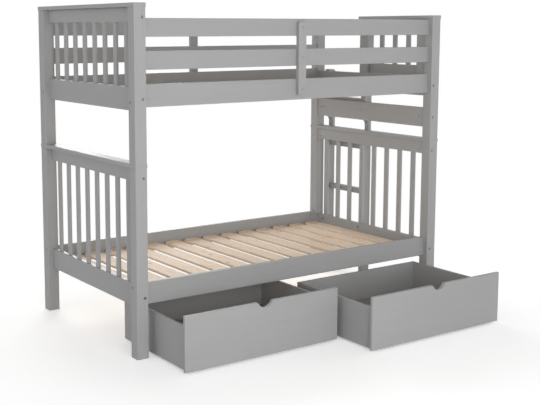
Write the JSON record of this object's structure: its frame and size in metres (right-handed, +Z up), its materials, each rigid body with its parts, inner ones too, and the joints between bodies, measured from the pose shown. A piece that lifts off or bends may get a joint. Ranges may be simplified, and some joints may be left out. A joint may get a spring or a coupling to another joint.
{
  "type": "bunk bed",
  "caption": "Grey painted bunk bed with guard rails, a fixed end ladder, pine slats and roll-out drawers on casters.",
  "frame": {"origin": "on the floor, below the middle of the bed's outline with both drawers as far out as in the picture", "axes": "+X along the bed from its plain end to its ladder end, +Y from the drawer side to the rear, +Z up"},
  "size_m": [2.051, 1.653, 1.727],
  "materials": {
    "grey_paint": "satin grey paint",
    "pine": "raw planed pine",
    "drawer_board": "matt faced board",
    "steel": "zinc plated",
    "caster_plastic": "moulded"
  },
  "bodies": {
    "frame": {"barrel_nuts": "steel", "bed_slats_lower": "pine", "bed_slats_upper": "pine", "cap_lower_left": "grey_paint", "cap_lower_right": "grey_paint", "cap_upper_left": "grey_paint", "cap_upper_right": "grey_paint", "end_rail_lower_left": "grey_paint", "end_rail_lower_right": "grey_paint", "end_rail_upper_left": "grey_paint", "end_rail_upper_right": "grey_paint", "end_slats_lower_left": "grey_paint", "end_slats_lower_right": "grey_paint", "end_slats_upper_left": "grey_paint", "frame_bolts": "steel", "guard_rails_front": "grey_paint", "guard_rails_rear": "grey_paint", "guard_stile_front": "grey_paint", "guard_stile_rear": "grey_paint", "ladder_rail": "grey_paint", "ladder_rungs": "grey_paint", "ladder_upright_front": "grey_paint", "ladder_upright_rear": "grey_paint", "panel_rails": "grey_paint", "panel_slats": "grey_paint", "panel_stile_centre": "grey_paint", "panel_stile_front": "grey_paint", "post_lower_front_left": "grey_paint", "post_lower_front_right": "grey_paint", "post_lower_rear_left": "grey_paint", "post_lower_rear_right": "grey_paint", "post_pins": "steel", "post_upper_front_left": "grey_paint", "post_upper_front_right": "grey_paint", "post_upper_rear_left": "grey_paint", "post_upper_rear_right": "grey_paint", "rail_dowels": "pine", "side_rail_lower_front": "grey_paint", "side_rail_lower_rear": "grey_paint", "side_rail_upper_front": "grey_paint", "side_rail_upper_rear": "grey_paint", "slat_cleats": "pine", "top_rail_lower_left": "grey_paint", "top_rail_lower_right": "grey_paint", "top_rail_upper_left": "grey_paint", "wood_screws": "steel"},
    "drawer_left": {"drawer_left_casters": "steel", "drawer_left_corner_blocks": "pine", "drawer_left_floor": "drawer_board", "drawer_left_front": "grey_paint", "drawer_left_walls": "grey_paint"},
    "drawer_left_front_wheels": {"drawer_left_wheels_front": "caster_plastic"},
    "drawer_left_rear_wheels": {"drawer_left_wheels_rear": "caster_plastic"},
    "drawer_right": {"drawer_right_casters": "steel", "drawer_right_corner_blocks": "pine", "drawer_right_floor": "drawer_board", "drawer_right_front": "grey_paint", "drawer_right_walls": "grey_paint"},
    "drawer_right_front_wheels": {"drawer_right_wheels_front": "caster_plastic"},
    "drawer_right_rear_wheels": {"drawer_right_wheels_rear": "caster_plastic"}
  },
  "joints": [
    {"name": "drawer_left_slide", "type": "slide", "parent": "frame", "child": "drawer_left", "axis": [0, 1, 0], "range_m": [-0.26, 0.32]},
    {"name": "drawer_left_front_axles", "type": "hinge", "parent": "drawer_left", "child": "drawer_left_front_wheels", "pos_m": [-0.48225, -0.5195, 0.018], "axis": [1, 0, 0], "continuous": true},
    {"name": "drawer_left_rear_axles", "type": "hinge", "parent": "drawer_left", "child": "drawer_left_rear_wheels", "pos_m": [-0.48225, -0.0135, 0.018], "axis": [1, 0, 0], "continuous": true},
    {"name": "drawer_right_slide", "type": "slide", "parent": "frame", "child": "drawer_right", "axis": [0, 1, 0], "range_m": [-0.016, 0.564]},
    {"name": "drawer_right_front_axles", "type": "hinge", "parent": "drawer_right", "child": "drawer_right_front_wheels", "pos_m": [0.45925, -0.7635, 0.018], "axis": [1, 0, 0], "continuous": true},
    {"name": "drawer_right_rear_axles", "type": "hinge", "parent": "drawer_right", "child": "drawer_right_rear_wheels", "pos_m": [0.45925, -0.2575, 0.018], "axis": [1, 0, 0], "continuous": true}
  ],
  "couplings": [
    {"joint": "drawer_left_front_axles", "follows": "drawer_left_slide", "rad_per_m": -55.556},
    {"joint": "drawer_left_rear_axles", "follows": "drawer_left_slide", "rad_per_m": -55.556},
    {"joint": "drawer_right_front_axles", "follows": "drawer_right_slide", "rad_per_m": -55.556},
    {"joint": "drawer_right_rear_axles", "follows": "drawer_right_slide", "rad_per_m": -55.556}
  ]
}
